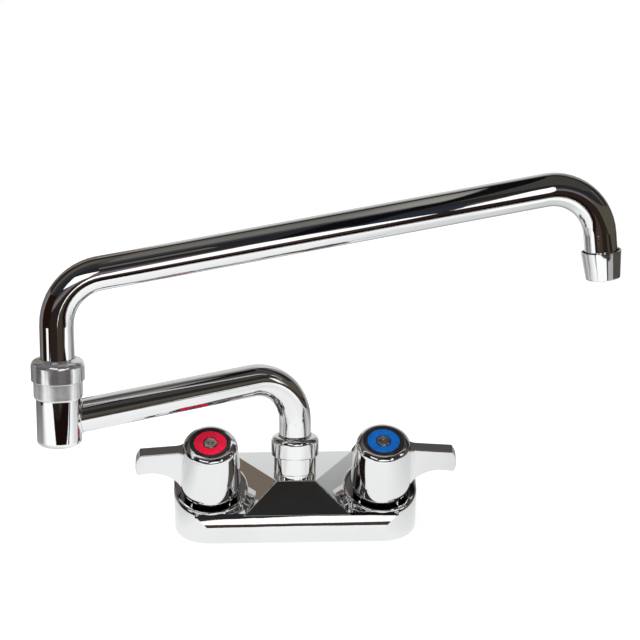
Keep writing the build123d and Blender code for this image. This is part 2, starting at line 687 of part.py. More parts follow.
def lever_plan():
    """Plan of the blade: straight, then flaring with hollow roundings into the bell."""
    half = LEVER_THICKNESS / 2
    bell = SHOULDER_R - 0.6
    r = LEVER_ROOT_R
    cy = half + r
    cx = sqrt((bell + r) ** 2 - cy ** 2)
    touch = Vector(cx, cy) * (bell / (bell + r))
    mid_angle = (Vector(cx, half) - Vector(cx, cy)).normalized() + (touch - Vector(cx, cy)).normalized()
    mid = Vector(cx, cy) + mid_angle.normalized() * r
    reach = LEVER_REACH + 1
    return make_face(Wire([
        ThreePointArc((touch.X, touch.Y), (mid.X, mid.Y), (cx, half)),
        Line((cx, half), (reach, half)),
        Line((reach, half), (reach, -half)),
        Line((reach, -half), (cx, -half)),
        ThreePointArc((cx, -half), (mid.X, -mid.Y), (touch.X, -touch.Y)),
        Line((touch.X, -touch.Y), (touch.X, touch.Y)),
    ]))


def lever_handle(side):
    """One-piece cast handle: bell and lever blade."""
    blade = extrude(lever_side(), LEVER_THICKNESS * 2, both=True)
    blade &= extrude(lever_plan(), CAP_HEIGHT)
    outer = [e for e in blade.edges() if e.center().X > SKIRT_R + 2]
    blade = fillet(outer, LEVER_EDGE_R)
    cavity = turned([
        (0, SKIRT_FROM - 1),
        (SKIRT_R - SKIRT_WALL, SKIRT_FROM - 1),
        (SKIRT_R - SKIRT_WALL, HUB_FROM),
        (SHOULDER_R - SKIRT_WALL, CAP_HEIGHT - CAP_WALL),
        (0, CAP_HEIGHT - CAP_WALL),
    ])
    return valve_frame(side) * (handle_bell() + (blade - cavity))


def index_ring(side):
    """Coloured ring let into the cap."""
    low = CAP_HEIGHT - INDEX_DEPTH
    blank = ring(INDEX_R, INDEX_BORE_R, low, CAP_HEIGHT + INDEX_PROUD)
    rim = [e for e in blank.edges() if e.center().Z > CAP_HEIGHT]
    return valve_frame(side) * fillet(rim, 0.3)


def handle_screw(side):
    """Pan-head screw with a cross recess, through the handle into the stem."""
    seat = CAP_HEIGHT - SCREW_SEAT
    top = seat + SCREW_HEAD_HEIGHT
    head = rod(SCREW_HEAD_R, seat, top)
    head = fillet(head.edges().sort_by(Axis.Z)[-1], SCREW_HEAD_HEIGHT * 0.5)
    cross = Box(RECESS_SPAN, RECESS_WIDTH, RECESS_DEPTH) + Box(RECESS_WIDTH, RECESS_SPAN, RECESS_DEPTH)
    head -= Pos(0, 0, top - RECESS_DEPTH / 2) * cross
    return valve_frame(side) * (head + rod(SCREW_R, seat - SCREW_LENGTH, seat + 0.5))


def stem(side):
    """Quarter-turn stem: driver, foot, shaft with a seal groove, splined top."""
    roof = -CARTRIDGE_ROOF
    foot = roof - STEM_FOOT_THICKNESS
    driver = -VALVE_BORE_DEPTH + SEAL_THICKNESS + FIXED_DISC + MOVING_DISC
    groove = HEX_HEIGHT - 1.0
    chamber = VALVE_BORE_R - SLEEVE_FIT - CARTRIDGE_WALL
    shaft = turned([
        (0, driver),
        (DRIVER_R, driver),
        (DRIVER_R, foot),
        (chamber - DISC_FIT, foot),
        (chamber - DISC_FIT, roof),
        (STEM_R, roof),
        (STEM_R, groove),
        (STEM_R - GROOVE_DEPTH, groove),
        (STEM_R - GROOVE_DEPTH, groove + GROOVE_WIDTH),
        (STEM_R, groove + GROOVE_WIDTH),
        (STEM_R, NECK_TOP + 0.3),
        (SPLINE_R, NECK_TOP + 0.3),
        (SPLINE_R, SPLINE_TOP),
        (0, SPLINE_TOP),
    ])
    hole_floor = CAP_HEIGHT - SCREW_SEAT - SCREW_LENGTH - 1
    shaft -= rod(SCREW_R + THREAD_CLEARANCE, hole_floor, SPLINE_TOP + 1)
    return valve_frame(side) * shaft


def stem_o_ring(side):
    low = HEX_HEIGHT - 1.0
    seal = soft_ring(STEM_R + STEM_FIT - 0.02, STEM_R - GROOVE_DEPTH, low + 0.05, low + GROOVE_WIDTH - 0.05)
    return valve_frame(side) * seal


def cartridge_sleeve(side):
    """Brass bonnet: threaded sleeve with side ports, hexagon and neck."""
    outer = VALVE_BORE_R - SLEEVE_FIT
    foot = -VALVE_BORE_DEPTH + SEAL_THICKNESS
    groove = -CARTRIDGE_ROOF + 0.6
    blank = turned([
        (0, foot),
        (outer, foot),
        (outer, groove),
        (outer - GROOVE_DEPTH, groove),
        (outer - GROOVE_DEPTH, groove + GROOVE_WIDTH),
        (outer, groove + GROOVE_WIDTH),
        (outer, POCKET_FLOOR),
        (NECK_R, POCKET_FLOOR),
        (NECK_R, NECK_TOP),
        (0, NECK_TOP),
    ])
    hexagon = RegularPolygon(HEX_FLATS / sqrt(3), 6)
    blank += Pos(0, 0, POCKET_FLOOR) * extrude(hexagon, HEX_HEIGHT - POCKET_FLOOR)
    blank -= rod(outer - CARTRIDGE_WALL, foot - 1, -CARTRIDGE_ROOF)
    blank -= rod(STEM_R + STEM_FIT, -CARTRIDGE_ROOF - 1, NECK_TOP + 1)
    port_low = -VALVE_BORE_DEPTH + SEAL_THICKNESS + FIXED_DISC + MOVING_DISC + 0.5
    ports = Box(4 * outer, SIDE_PORT_WIDTH, SIDE_PORT_HEIGHT)
    blank -= Pos(0, 0, port_low + SIDE_PORT_HEIGHT / 2) * ports
    return valve_frame(side) * blank


def cartridge_o_rings():
    """One seal round each cartridge sleeve, above its ports."""
    outer = VALVE_BORE_R - 0.02
    inner = VALVE_BORE_R - SLEEVE_FIT - GROOVE_DEPTH
    low = -CARTRIDGE_ROOF + 0.6
    seal = soft_ring(outer, inner, low + 0.05, low + GROOVE_WIDTH - 0.05)
    return Compound([valve_frame(side) * seal for side in VALVE_SIDES.values()])


def disc(low, thickness):
    """Ceramic disc with two sector windows."""
    radius = VALVE_BORE_R - SLEEVE_FIT - CARTRIDGE_WALL - DISC_FIT
    plate = rod(radius, low, low + thickness)
    web = DISC_WEB
    rim = radius - DISC_RIM
    for turn in (0, 180):
        window = make_face(Wire([
            Line((web, web), (rim, web)),
            ThreePointArc((rim, web), ((rim + 0.2) * 0.71, (rim + 0.2) * 0.71), (web, rim)),
            Line((web, rim), (web, web)),
        ]))
        plate -= Rot(0, 0, turn) * extrude(Pos(0, 0, low - 1) * window, thickness + 2)
    return plate


def fixed_disc(side):
    return valve_frame(side) * disc(-VALVE_BORE_DEPTH + SEAL_THICKNESS, FIXED_DISC)


def moving_disc(side):
    low = -VALVE_BORE_DEPTH + SEAL_THICKNESS + FIXED_DISC
    return valve_frame(side) * Rot(0, 0, 90) * disc(low, MOVING_DISC)


def seat_seals():
    """Rubber seal under each fixed disc."""
    outer = VALVE_BORE_R - 0.15
    seal = ring(outer, VALVE_SEAT_R, -VALVE_BORE_DEPTH, -VALVE_BORE_DEPTH + SEAL_THICKNESS)
    return Compound([valve_frame(side) * seal for side in VALVE_SIDES.values()])


def build_nodes():
    """Every sub-part by its node name."""
    at_spout = Pos(0, -SPOUT_SETBACK, SPOUT_NUT_Z)
    at_joint = Pos(JOINT_CENTRE + Vector(0, 0, JOINT_NUT_HEIGHT))
    nodes = {
        "faucet_body": faucet_body(),
        "shank_gaskets": shank_gaskets(),
        "shank_washers": shank_washers(),
        "shank_locknuts": shank_locknuts(),
        "spout_socket": spout_socket(),
        "spout_nut": at_spout * coupling_nut(NUT_WALL),
        "spout_bushing": at_spout * swivel_bushing(),
        "spout_thrust_washer": at_spout * thrust_washer(SOCKET_BORE_R),
        "lower_spout_tube": lower_spout_tube(),
        "lower_swivel_sleeve": at_spout * swivel_sleeve(),
        "lower_swivel_o_rings": at_spout * sleeve_o_rings(),
        "joint_socket": joint_socket(),
        "joint_nut": at_joint * coupling_nut(NUT_WALL + JOINT_NUT_EXTRA),
        "joint_bushing": at_joint * swivel_bushing(),
        "joint_thrust_washer": at_joint * thrust_washer(JOINT_R - JOINT_WALL),
        "upper_spout_tube": upper_spout_tube(),
        "upper_swivel_sleeve": at_joint * swivel_sleeve(),
        "upper_swivel_o_rings": at_joint * sleeve_o_rings(),
        "aerator_shell": aerator_shell(),
        "aerator_washer": aerator_washer(),
        "aerator_insert": aerator_insert(),
        "cartridge_o_rings": cartridge_o_rings(),
        "seat_seals": seat_seals(),
    }
    for name, side in VALVE_SIDES.items():
        nodes[name + "_inlet_shank"] = inlet_shank(side)
        nodes[name + "_handle"] = lever_handle(side)
        nodes[name + "_index_ring"] = index_ring(side)
        nodes[name + "_handle_screw"] = handle_screw(side)
        nodes[name + "_stem"] = stem(side)
        nodes[name + "_stem_o_ring"] = stem_o_ring(side)
        nodes[name + "_moving_disc"] = moving_disc(side)
        nodes[name + "_fixed_disc"] = fixed_disc(side)
        nodes[name + "_cartridge_sleeve"] = cartridge_sleeve(side)
    return nodes


def main():
    os.makedirs("parts", exist_ok=True)
    for name, shape in build_nodes().items():
        export_step(shape, os.path.join("parts", name + ".step"))


main()
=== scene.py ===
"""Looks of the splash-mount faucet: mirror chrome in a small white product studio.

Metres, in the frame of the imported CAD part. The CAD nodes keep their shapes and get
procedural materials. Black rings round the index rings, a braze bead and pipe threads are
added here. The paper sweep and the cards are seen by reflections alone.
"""
import json
import math

import bmesh
import bpy
from mathutils import Matrix, Vector


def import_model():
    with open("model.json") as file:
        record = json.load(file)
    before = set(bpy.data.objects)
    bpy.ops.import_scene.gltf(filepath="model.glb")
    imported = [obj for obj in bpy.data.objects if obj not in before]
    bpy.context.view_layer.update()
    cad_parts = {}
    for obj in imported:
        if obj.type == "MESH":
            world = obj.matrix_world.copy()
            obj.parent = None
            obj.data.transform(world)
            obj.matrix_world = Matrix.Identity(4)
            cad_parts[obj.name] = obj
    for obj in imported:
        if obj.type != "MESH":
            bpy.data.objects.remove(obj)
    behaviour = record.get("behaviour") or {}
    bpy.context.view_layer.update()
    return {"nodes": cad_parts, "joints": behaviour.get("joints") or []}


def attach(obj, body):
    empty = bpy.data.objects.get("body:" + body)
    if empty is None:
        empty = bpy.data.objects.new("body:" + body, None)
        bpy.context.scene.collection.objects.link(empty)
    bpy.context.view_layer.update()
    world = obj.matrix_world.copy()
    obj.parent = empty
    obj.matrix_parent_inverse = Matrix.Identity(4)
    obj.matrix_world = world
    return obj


SHARP_ANGLE = math.radians(38)
ROUND_STEPS = 72             # points round a turned piece

# Black ring in a handle's cap, with heights along the stem from the lever's joint
SEAT_BORE_R = 0.00964
SEAT_R = 0.0121
SEAT_FOOT = 0.0341
SEAT_TOP = 0.03447

# Bead between the lower arm and the joint's socket
TUBE_R = 0.009525
JOINT_R = 0.0124             # outside of the joint's socket
BEAD_R = 0.0010
BEAD_STEPS = 10              # points round the bead itself

# Pipe threads on the shanks
THREAD_PITCH = 0.001814      # 14 turns to the inch
THREAD_FOOT_R = 0.0103
THREAD_RISE = 0.00062        # height of the ridge that fades out towards its ends
THREAD_LEAST = 0.0001        # height that stays at its ends
THREAD_FLANKS = (0.05, 0.44, 0.56, 0.95)  # foot, edges of the crest and foot, as shares of the pitch
THREAD_STEPS = 36            # points per turn
THREAD_SPANS = (("near", 0.0102, 0.0132), ("far", 0.0143, 0.0444))  # from and to, behind the wall face

# Satin collar of the joint's socket
COLLAR_LOW = 0.0847
COLLAR_HIGH = 0.0947
COLLAR_EDGE = 0.0002         # height over which it turns into mirror chrome
COLLAR_ROUGHNESS = (0.16, 0.30)
COLLAR_LOSS = 0.25           # how much less metallic it is
COLLAR_GRAIN = 0.00002       # height of its bumps

# Floor and paper sweep
FLOOR_Z = -0.0183            # underside of the body
FLOOR_REACH = 6.0
FLOOR_TONE = (0.79, 0.81)    # linear grey, wandering between these
FLOOR_LIFT = 0.52            # light added for the camera, so that the floor is white there
SWEEP_LEFT = -0.52
SWEEP_RIGHT = 0.60
SWEEP_FRONT = -0.296
SWEEP_FRONT_SLANT = 0.045    # its left end is this much nearer, its right end further
SWEEP_BACK = 0.36
SWEEP_TOP = 0.95
SWEEP_BEND_R = 0.16
SWEEP_BEND_STEPS = 12
SWEEP_SINK = 0.0005          # below the floor
SWEEP_STRENGTH = 1.08
SWEEP_SIDES = 0.5            # the ground's fall-off ends this far to the left and the right
SWEEP_FADE_Y = (-0.24, -0.12)  # between these the ground's fall-off to the sides sets in
SWEEP_WING_X = (0.20, 0.32)  # between these the back turns darker, on both sides
SWEEP_RISE = (0.01, 0.08)    # between these heights the ground's tint gives way to the back's

# Cards that lie just below the floor, and the ceiling over the body
CARD_Z = FLOOR_Z - 0.0004
CARD_SHADOW_Z = FLOOR_Z - 0.0008
CEILING_Z = 0.5
CEILING_FRONT = -0.27
CEILING_BACK = 0.02
CEILING_SIDES = 0.2          # its tints end this far to the left and the right
CEILING_STRENGTH = 1.1

# World light
PLAIN_LIGHT = (0.95, 0.97, 1.0, 1.0)
PLAIN_STRENGTH = 0.62
ROOM_STRENGTH = 1.1

# The photograph's camera, fitted to the object: angles in degrees, lens in millimetres
CAMERA_PLACE = (-0.0475, -1.0875, 0.3409)
CAMERA_PITCH = 12.41         # down
CAMERA_YAW = 3.42            # to the right
CAMERA_ROLL = 0.27
CAMERA_LENS = 101.25
CAMERA_SENSOR = 36.0
CAMERA_CLIP = 0.01

# Lamps: name, place, side, watts
LAMPS = (
    ("key_lamp", (-0.9, -1.0, 1.4), 1.0, 17.0),
    ("fill_lamp", (1.2, -0.6, 1.0), 1.2, 6.0),
)
LAMP_AIM = (0.0, -0.05, 0.05)


# Node helpers

class Nodes:
    """Small wrapper that adds and links the nodes of a material or a world."""

    def __init__(self, tree):
        self.tree = tree
        tree.nodes.clear()

    def add(self, kind, inputs=None, **settings):
        node = self.tree.nodes.new(kind)
        for key, value in settings.items():
            setattr(node, key, value)
        for key, value in (inputs or {}).items():
            socket = node.inputs[key]
            if isinstance(value, bpy.types.NodeSocket):
                self.tree.links.new(value, socket)
            else:
                socket.default_value = value
        return node

    def end(self, shader, kind="ShaderNodeOutputMaterial"):
        self.add(kind, {"Surface": shader.outputs[0]})

    def split(self, vector):
        """X, Y and Z of a vector."""
        outputs = self.add("ShaderNodeSeparateXYZ", {"Vector": vector}).outputs
        return outputs["X"], outputs["Y"], outputs["Z"]

    def object_coords(self):
        return self.add("ShaderNodeTexCoord").outputs["Object"]

    def position(self):
        """X, Y and Z of the shaded point."""
        return self.split(self.add("ShaderNodeNewGeometry").outputs["Position"])

    def math(self, operation, a, b=0.0):
        return self.add("ShaderNodeMath", {0: a, 1: b}, operation=operation).outputs[0]

    def ramp(self, factor, stops):
        """Colour ramp; stops: (place from 0 to 1, linear colour)."""
        node = self.add("ShaderNodeValToRGB", {"Fac": factor})
        elements = node.color_ramp.elements
        while len(elements) > 1:
            elements.remove(elements[-1])
        elements[0].position = stops[0][0]
        elements[0].color = (*stops[0][1], 1.0)
        for place, tint in stops[1:]:
            elements.new(place).color = (*tint, 1.0)
        return node.outputs["Color"]

    def remap(self, value, low, high, to_low=0.0, to_high=1.0):
        node = self.add("ShaderNodeMapRange", {
            "Value": value,
            "From Min": low,
            "From Max": high,
            "To Min": to_low,
            "To Max": to_high,
        })
        return node.outputs["Result"]

    def noise(self, coords, scale, detail, roughness=0.5):
        node = self.add("ShaderNodeTexNoise", {
            "Vector": coords,
            "Scale": scale,
            "Detail": detail,
            "Roughness": roughness,
        })
        return node.outputs["Fac"]

    def mix(self, factor, a, b, blend="MIX"):
        node = self.add("ShaderNodeMix", {0: factor, 6: a, 7: b}, data_type="RGBA", blend_type=blend)
        return node.outputs[2]

    def multiply(self, a, b):
        return self.mix(1.0, a, b, "MULTIPLY")

    def tinted(self, coords, bright, dull, scale):
        """Colour that wanders between two tints."""
        tone = self.remap(self.noise(coords, scale, detail=4.0), 0.35, 0.65)
        return self.mix(tone, (*bright, 1.0), (*dull, 1.0))

    def smudges(self, coords, scale):
        """Noise of handling, for rough()."""
        return self.noise(coords, scale, detail=5.0, roughness=0.6)

    def rough(self, smudges, low, high):
        """Roughness that wanders between two limits."""
        return self.remap(smudges, 0.35, 0.7, low, high)

    def bump(self, relief, height, **normal):
        inputs = {"Height": relief, "Distance": height, "Strength": 1.0, **normal}
        return self.add("ShaderNodeBump", inputs).outputs["Normal"]

    def glow(self, tint, strength):
        """End the material as an even light of its own."""
        self.end(self.add("ShaderNodeEmission", {"Color": tint, "Strength": strength}))


def new_material(name):
    mat = bpy.data.materials.new(name)
    mat.use_nodes = True
    return mat, Nodes(mat.node_tree)


def linear(srgb):
    """Linear value of an sRGB level from 0 to 255."""
    c = srgb / 255.0
    return c / 12.92 if c <= 0.04045 else ((c + 0.055) / 1.055) ** 2.4


def colour(*levels):
    """Linear colour from sRGB levels. One level alone is a grey."""
    red, green, blue = levels * 3 if len(levels) == 1 else levels
    return (linear(red), linear(green), linear(blue))


def even(value):
    """Linear grey."""
    return (value, value, value)


# Finishes

CHROME_TINT = (0.90, 0.905, 0.91)
CHROME = (CHROME_TINT, tuple(c * 0.97 for c in CHROME_TINT), 30.0)
POLISHED = (0.02, 0.05, 45.0)


def chrome(bumps, roughness=POLISHED, metallic=1.0):
    """A chromed finish, mirror bright unless the roughness says otherwise."""
    return {"base": CHROME, "roughness": roughness, "metallic": metallic, "bumps": bumps}


# What surface() takes for each finish
FINISHES = {
    "cast_chrome": chrome(((55.0, 0.00010, 1.0), (220.0, 0.000012, 2.0))),
    "tube_chrome": chrome(((40.0, 0.00003, 1.0), (400.0, 0.000002, 2.0))),
    "turned_chrome": chrome(((60.0, 0.00002, 1.0), (600.0, 0.000003, 2.0))),
    "handle_chrome": chrome(((50.0, 0.00006, 1.0), (260.0, 0.000006, 2.0))),
    "satin_chrome": chrome(((60.0, 0.00002, 1.0), (900.0, 0.000006, 3.0)), (0.08, 0.17, 80.0), 0.9),
    "brushed_chrome": chrome(((60.0, 0.00002, 1.0), (900.0, 0.000004, 3.0)), (0.05, 0.10, 80.0), 0.97),
    "machined_brass": {
        "base": ((0.72, 0.52, 0.22), (0.62, 0.42, 0.17), 60.0),
        "roughness": (0.22, 0.38, 120.0),
        "metallic": 1.0,
        "bumps": ((900.0, 0.00002, 3.0),),
    },
    "screw_steel": {
        "base": ((0.72, 0.70, 0.66), (0.34, 0.33, 0.31), 700.0),
        "roughness": (0.16, 0.34, 500.0),
        "metallic": 1.0,
        "bumps": ((700.0, 0.00009, 3.0),),
    },
    "zinc_plate": {
        "base": ((0.62, 0.63, 0.62), (0.52, 0.54, 0.55), 90.0),
        "roughness": (0.28, 0.45, 200.0),
        "metallic": 1.0,
        "bumps": ((500.0, 0.00002, 3.0),),
    },
    "red_plastic": {
        "base": ((0.86, 0.002, 0.045), (0.70, 0.002, 0.035), 300.0),
        "roughness": (0.25, 0.4, 500.0),
        "metallic": 0.0,
        "bumps": ((700.0, 0.00002, 2.0),),
    },
    "blue_plastic": {
        "base": ((0.0, 0.115, 0.44), (0.0, 0.085, 0.35), 300.0),
        "roughness": (0.25, 0.4, 500.0),
        "metallic": 0.0,
        "bumps": ((700.0, 0.00002, 2.0),),
    },
    "grey_plastic": {
        "base": ((0.5, 0.51, 0.53), (0.42, 0.43, 0.45), 150.0),
        "roughness": (0.4, 0.55, 300.0),
        "metallic": 0.0,
        "bumps": ((700.0, 0.00002, 2.0),),
    },
    "white_acetal": {
        "base": ((0.82, 0.82, 0.79), (0.74, 0.74, 0.71), 80.0),
        "roughness": (0.35, 0.5, 250.0),
        "metallic": 0.0,
        "bumps": ((600.0, 0.00001, 2.0),),
    },
    "black_rubber": {
        "base": ((0.018, 0.018, 0.018), (0.03, 0.03, 0.03), 200.0),
        "roughness": (0.55, 0.8, 300.0),
        "metallic": 0.0,
        "bumps": ((900.0, 0.00003, 3.0),),
    },
    "black_ring": {
        "base": ((0.012, 0.011, 0.012), (0.022, 0.020, 0.021), 250.0),
        "roughness": (0.12, 0.24, 200.0),
        "metallic": 0.0,
        "bumps": ((500.0, 0.00001, 2.0),),
    },
    "lapped_ceramic": {
        "base": ((0.88, 0.87, 0.84), (0.8, 0.79, 0.76), 60.0),
        "roughness": (0.12, 0.2, 150.0),
        "metallic": 0.0,
        "bumps": ((500.0, 0.000004, 2.0),),
    },
}

# The CAD nodes that have each finish
WEARERS = {
    "cast_chrome": ("faucet_body",),
    "tube_chrome": ("lower_spout_tube", "upper_spout_tube"),
    "turned_chrome": ("spout_socket", "spout_nut"),
    "collared_chrome": ("joint_socket",),
    "satin_chrome": ("joint_nut",),
    "brushed_chrome": ("aerator_shell",),
    "handle_chrome": ("hot_handle", "cold_handle"),
    "red_plastic": ("hot_index_ring",),
    "blue_plastic": ("cold_index_ring",),
    "screw_steel": ("hot_handle_screw", "cold_handle_screw"),
    "machined_brass": (
        "hot_inlet_shank", "cold_inlet_shank", "shank_locknuts",
        "hot_cartridge_sleeve", "cold_cartridge_sleeve", "hot_stem", "cold_stem",
        "lower_swivel_sleeve", "upper_swivel_sleeve",
    ),
    "zinc_plate": ("shank_washers",),
    "black_rubber": (
        "shank_gaskets", "cartridge_o_rings", "seat_seals", "hot_stem_o_ring",
        "cold_stem_o_ring", "lower_swivel_o_rings", "upper_swivel_o_rings",
        "aerator_washer",
    ),
    "white_acetal": (
        "spout_bushing", "joint_bushing", "spout_thrust_washer", "joint_thrust_washer",
    ),
    "grey_plastic": ("aerator_insert",),
    "lapped_ceramic": (
        "hot_moving_disc", "cold_moving_disc", "hot_fixed_disc", "cold_fixed_disc",
    ),
}


def surface(name, base, roughness, metallic, bumps):
    """A Principled material.

    base: (colour, colour, noise scale); roughness: (low, high, noise scale);
    bumps: (noise scale, height in metres, detail) from coarse to fine.
    """
    mat, n = new_material(name)
    coords = n.object_coords()
    low, high, smudge_scale = roughness
    normal = {}
    for scale, height, detail in bumps:
        normal["Normal"] = n.bump(n.noise(coords, scale, detail=detail), height, **normal)
    n.end(n.add("ShaderNodeBsdfPrincipled", {
        "Base Color": n.tinted(coords, *base),
        "Metallic": metallic,
        "Roughness": n.rough(n.smudges(coords, smudge_scale), low, high),
        "Specular IOR Level": 0.5 if metallic else 0.3,
        **normal,
    }))
    return mat


def collared_chrome():
    """Mirror chrome with a satin band at the height of the joint's collar."""
    mat, n = new_material("collared_chrome")
    coords = n.object_coords()
    height = n.split(coords)[2]
    over = n.remap(height, COLLAR_LOW - COLLAR_EDGE, COLLAR_LOW)
    under = n.remap(height, COLLAR_HIGH, COLLAR_HIGH + COLLAR_EDGE, 1.0, 0.0)
    band = n.math("MULTIPLY", over, under)
    smudges = n.smudges(coords, 90.0)
    polished = n.rough(smudges, *POLISHED[:2])
    satin = n.rough(smudges, *COLLAR_ROUGHNESS)
    added = n.math("MULTIPLY", band, n.math("SUBTRACT", satin, polished))
    relief = n.math("MULTIPLY", n.noise(coords, 500.0, detail=3.0), band)
    n.end(n.add("ShaderNodeBsdfPrincipled", {
        "Base Color": n.tinted(coords, CHROME_TINT, (0.87, 0.875, 0.88), 30.0),
        "Metallic": n.math("SUBTRACT", 1.0, n.math("MULTIPLY", band, COLLAR_LOSS)),
        "Roughness": n.math("ADD", polished, added),
        "Normal": n.bump(relief, COLLAR_GRAIN),
    }))
    return mat


def dress_nodes(nodes):
    """A procedural material for every CAD node. Returns the materials by name."""
    made = {name: surface(name, **finish) for name, finish in FINISHES.items()}
    made["collared_chrome"] = collared_chrome()
    for name, wearers in WEARERS.items():
        for wearer in wearers:
            data = nodes[wearer].data
            data.materials.clear()
            data.materials.append(made[name])
    return made


# Meshes

def mesh_object(name, verts, faces, mat):
    data = bpy.data.meshes.new(name)
    data.from_pydata(verts, [], faces)
    data.materials.append(mat)
    obj = bpy.data.objects.new(name, data)
    bpy.context.scene.collection.objects.link(obj)
    return obj


def smooth(obj):
    for face in obj.data.polygons:
        face.use_smooth = True
    obj.data.set_sharp_from_angle(angle=SHARP_ANGLE)
    return obj


def swept(name, rings, mat, closed):
    """Skin over equal rings of points, one after the other."""
    count = len(rings[0])
    verts = [point for ring in rings for point in ring]
    steps = len(rings) if closed else len(rings) - 1
    faces = []
    for i in range(steps):
        here = i * count
        after = (i + 1) % len(rings) * count
        for j in range(count):
            k = (j + 1) % count
            faces.append((here + j, here + k, after + k, after + j))
    if not closed:
        faces.append(tuple(reversed(range(count))))
        faces.append(tuple(range(steps * count, (steps + 1) * count)))
    obj = mesh_object(name, verts, faces, mat)
    mesh = bmesh.new()
    mesh.from_mesh(obj.data)
    bmesh.ops.recalc_face_normals(mesh, faces=mesh.faces)
    mesh.to_mesh(obj.data)
    mesh.free()
    return smooth(obj)


# Pieces

def index_seats(joints, mat):
    """Black ring round each index ring, in the flat of the handle's cap."""
    # Radius and height of each corner: the bore, the flat top and the rounded outer edge
    section = (
        (SEAT_BORE_R, SEAT_FOOT),
        (SEAT_BORE_R, SEAT_TOP - 0.0001),
        (SEAT_BORE_R + 0.00008, SEAT_TOP),
        (SEAT_R - 0.0006, SEAT_TOP),
        (SEAT_R - 0.0003, SEAT_TOP - 0.00003),
        (SEAT_R - 0.0001, SEAT_TOP - 0.00011),
        (SEAT_R, SEAT_TOP - 0.00023),
        (SEAT_R, SEAT_FOOT),
    )
    for name in ("hot", "cold"):
        joint = joints[name + "_lever_turn"]
        stem = Vector(joint["axis"])
        tilt = Matrix.Rotation(math.atan2(-stem.y, stem.z), 4, "X")
        base = Matrix.Translation(joint["pos_m"]) @ tilt
        rings = []
        for i in range(ROUND_STEPS):
            turn = math.tau * i / ROUND_STEPS
            rings.append([
                base @ Vector((r * math.cos(turn), r * math.sin(turn), z)) for r, z in section
            ])
        seat = swept(name + "_index_seat", rings, mat, True)
        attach(seat, name + "_valve")


def braze_bead(joints, mat):
    """Small bead where the lower arm is brazed into the joint's socket."""
    joint = Vector(joints["upper_spout_swing"]["pos_m"])
    arm = (Vector(joints["lower_spout_swing"]["pos_m"]) - joint).normalized()
    across = arm.cross(Vector((0, 0, 1))).normalized()
    above = across.cross(arm)
    flat = arm.xy.length_squared
    path = []
    for i in range(ROUND_STEPS):
        turn = math.tau * i / ROUND_STEPS
        start = TUBE_R * (across * math.cos(turn) + above * math.sin(turn))
        # How far along the arm this line of the tube leaves the socket's round wall
        lean = start.xy.dot(arm.xy)
        short = start.xy.length_squared - JOINT_R * JOINT_R
        reach = (-lean + math.sqrt(lean * lean - flat * short)) / flat
        path.append((joint + start + arm * reach, start.normalized()))
    rings = []
    for i, (point, out) in enumerate(path):
        ahead = (path[(i + 1) % ROUND_STEPS][0] - path[i - 1][0]).normalized()
        side = ahead.cross(out).normalized()
        rings.append([
            point + BEAD_R * (out * math.cos(a) + side * math.sin(a))
            for a in (math.tau * k / BEAD_STEPS for k in range(BEAD_STEPS))
        ])
    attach(swept("braze_bead", rings, mat, True), "lower_spout")


def shank_threads(joints, mat):
    """Pipe thread turned on the two inlet shanks, either side of the run-out groove."""
    for name in ("hot", "cold"):
        middle = joints[name + "_lever_turn"]["pos_m"][0]
        for part, start, end in THREAD_SPANS:
            steps = int((end - start - THREAD_PITCH) / THREAD_PITCH * THREAD_STEPS)
            rings = []
            for i in range(steps + 1):
                turn = math.tau * i / THREAD_STEPS
                y = start + THREAD_PITCH * i / THREAD_STEPS
                fade = min(1.0, 2 * i / THREAD_STEPS, 2 * (steps - i) / THREAD_STEPS)
                peak = THREAD_FOOT_R + THREAD_RISE * fade + THREAD_LEAST
                heights = (THREAD_FOOT_R, peak, peak, THREAD_FOOT_R)
                rings.append([
                    (middle + r * math.cos(turn), y + THREAD_PITCH * share, r * math.sin(turn))
                    for r, share in zip(heights, THREAD_FLANKS)
                ])
            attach(swept(name + "_thread_" + part, rings, mat, False), "wall_body")


# Studio

# Painted light and shade of the paper's ground, from the sweep's front edge to its back
PAPER_GROUND = (
    (0.0, colour(250)),
    (0.45, colour(240)),
    (0.62, colour(190)),
    (0.85, colour(150)),
    (1.0, colour(225)),
)

# Painted light and shade of the paper's back, darker towards the top, from the floor to the sweep's
# top
PAPER_BACK = (
    (0.0, colour(228)),
    (0.12, colour(222)),
    (0.17, colour(207, 208, 208)),
    (0.30, colour(205, 206, 206)),
    (0.39, colour(205)),
    (0.525, colour(198, 197, 196)),
    (0.6, colour(190, 188, 187)),
    (0.69, colour(170, 168, 166)),
    (0.8, colour(130, 127, 125)),
    (0.9, colour(90, 87, 85)),
    (1.0, colour(55, 52, 50)),
)

# Share of the ground's light that is left, from the left side to the right
PAPER_SIDES = (
    (0.0, even(0.22)),
    (0.1, even(0.35)),
    (0.2, even(0.55)),
    (0.3, even(0.72)),
    (0.37, even(0.72)),
    (0.41, even(0.96)),
    (0.56, even(0.96)),
    (0.63, even(0.76)),
    (0.7, even(0.74)),
    (0.8, even(0.64)),
    (1.0, even(0.60)),
)

# Share of the back's light that is left, from its middle out to the wings
PAPER_WINGS = ((0.0, even(1.0)), (1.0, even(0.47)))

# The dark room: from the horizon on the user's side, over the top, to the one behind the wall
ROOM_ARCH = (
    (0.0, colour(70, 62, 66)),
    (0.03, colour(120, 112, 120)),
    (0.06, colour(98, 90, 97)),
    (0.09, colour(60, 54, 58)),
    (0.12, colour(40, 38, 38)),
    (0.30, colour(34, 36, 40)),
    (0.325, colour(52, 60, 72)),
    (0.345, colour(48, 49, 54)),
    (0.37, colour(37, 35, 31)),
    (0.42, colour(62, 58, 55)),
    (0.50, colour(84, 80, 77)),
    (0.575, colour(82, 79, 77)),
    (0.60, colour(64, 61, 59)),
    (0.63, colour(33, 30, 29)),
    (0.68, colour(36, 33, 32)),
    (1.0, colour(70, 66, 62)),
)
ROOM_BELOW = colour(40, 32, 28)

